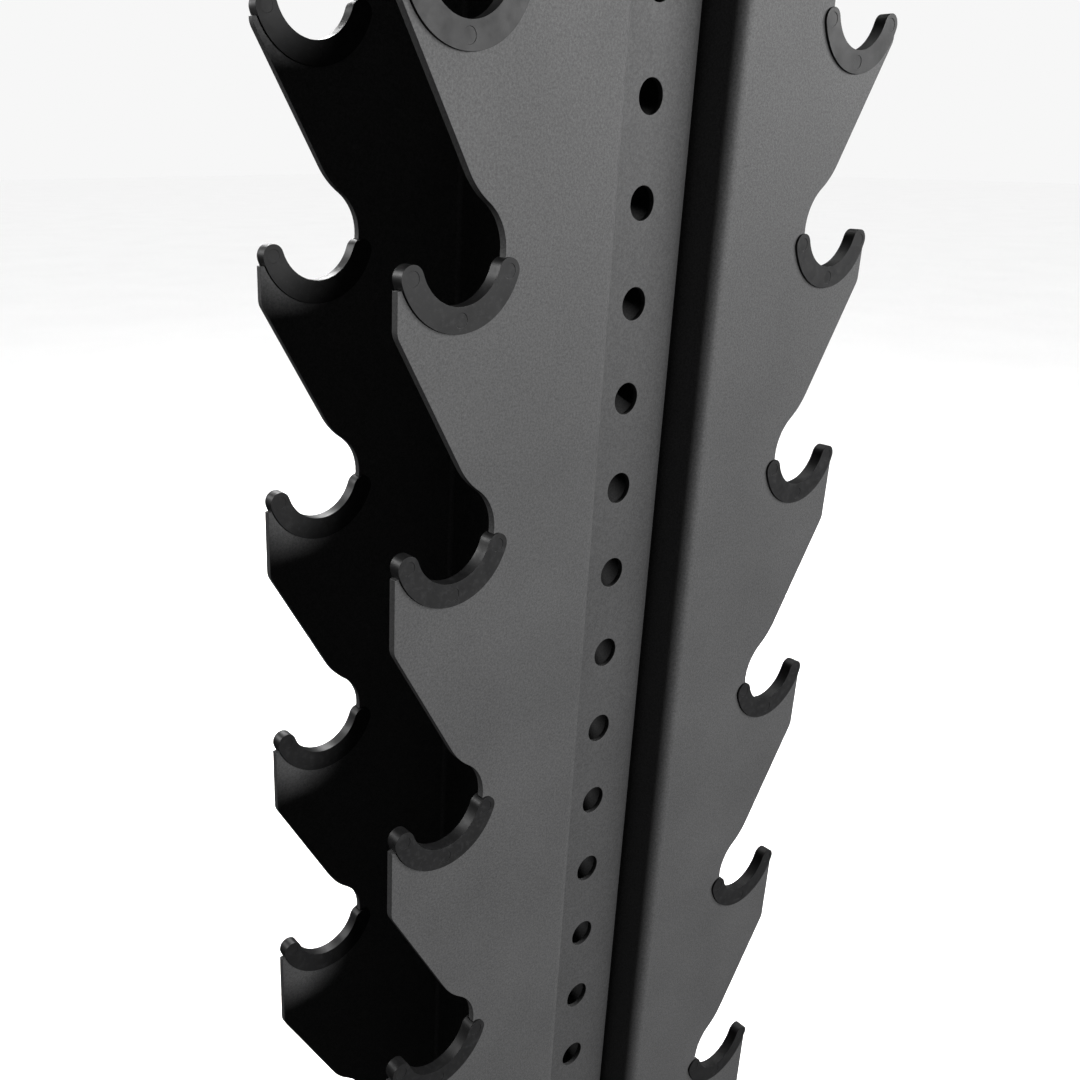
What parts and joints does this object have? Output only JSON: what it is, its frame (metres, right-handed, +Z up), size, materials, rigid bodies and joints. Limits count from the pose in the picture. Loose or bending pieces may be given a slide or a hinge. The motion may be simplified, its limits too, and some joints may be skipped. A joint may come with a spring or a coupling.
{
  "type": "dumbbell rack",
  "caption": "Free-standing vertical rack: a holed square upright between two saw-tooth channels whose notches carry plastic saddles that hold dumbbell handles",
  "frame": {"origin": "on the floor, at the middle of the footprint", "axes": "+X to the right, +Y to the rear, +Z up; the handles lie along Y"},
  "size_m": [0.52, 0.5286, 1.2823],
  "materials": {
    "powder_coat": "matt fine-textured dark grey powder coat",
    "saddle": "moulded black plastic with a low sheen",
    "end_cap": "moulded black plastic, lightly grained",
    "fastener": "blackened steel",
    "rubber": "matt black rubber"
  },
  "bodies": {
    "root": {"upright": "powder_coat", "channel_right": "powder_coat", "channel_left": "powder_coat", "upright_cap": "end_cap", "saddle_1_left_front": "saddle", "saddle_1_left_rear": "saddle", "saddle_1_right_front": "saddle", "saddle_1_right_rear": "saddle", "saddle_2_left_front": "saddle", "saddle_2_left_rear": "saddle", "saddle_2_right_front": "saddle", "saddle_2_right_rear": "saddle", "saddle_3_left_front": "saddle", "saddle_3_left_rear": "saddle", "saddle_3_right_front": "saddle", "saddle_3_right_rear": "saddle", "saddle_4_left_front": "saddle", "saddle_4_left_rear": "saddle", "saddle_4_right_front": "saddle", "saddle_4_right_rear": "saddle", "saddle_5_left_front": "saddle", "saddle_5_left_rear": "saddle", "saddle_5_right_front": "saddle", "saddle_5_right_rear": "saddle", "saddle_6_left_front": "saddle", "saddle_6_left_rear": "saddle", "saddle_6_right_front": "saddle", "saddle_6_right_rear": "saddle", "saddle_7_left_front": "saddle", "saddle_7_left_rear": "saddle", "saddle_7_right_front": "saddle", "saddle_7_right_rear": "saddle", "saddle_8_left_front": "saddle", "saddle_8_left_rear": "saddle", "saddle_8_right_front": "saddle", "saddle_8_right_rear": "saddle", "clamp_bolt_1": "fastener", "clamp_nut_1": "fastener", "clamp_bolt_2": "fastener", "clamp_nut_2": "fastener", "clamp_bolt_3": "fastener", "clamp_nut_3": "fastener", "clamp_bolt_4": "fastener", "clamp_nut_4": "fastener", "cross_beam": "powder_coat", "base_plate": "powder_coat", "base_bolt_1": "fastener", "base_bolt_2": "fastener", "base_bolt_3": "fastener", "base_bolt_4": "fastener", "runner_left": "powder_coat", "runner_cap_left_front": "end_cap", "foot_left_front": "rubber", "runner_cap_left_rear": "end_cap", "foot_left_rear": "rubber", "runner_right": "powder_coat", "runner_cap_right_front": "end_cap", "foot_right_front": "rubber", "runner_cap_right_rear": "end_cap", "foot_right_rear": "rubber"}
  },
  "joints": []
}
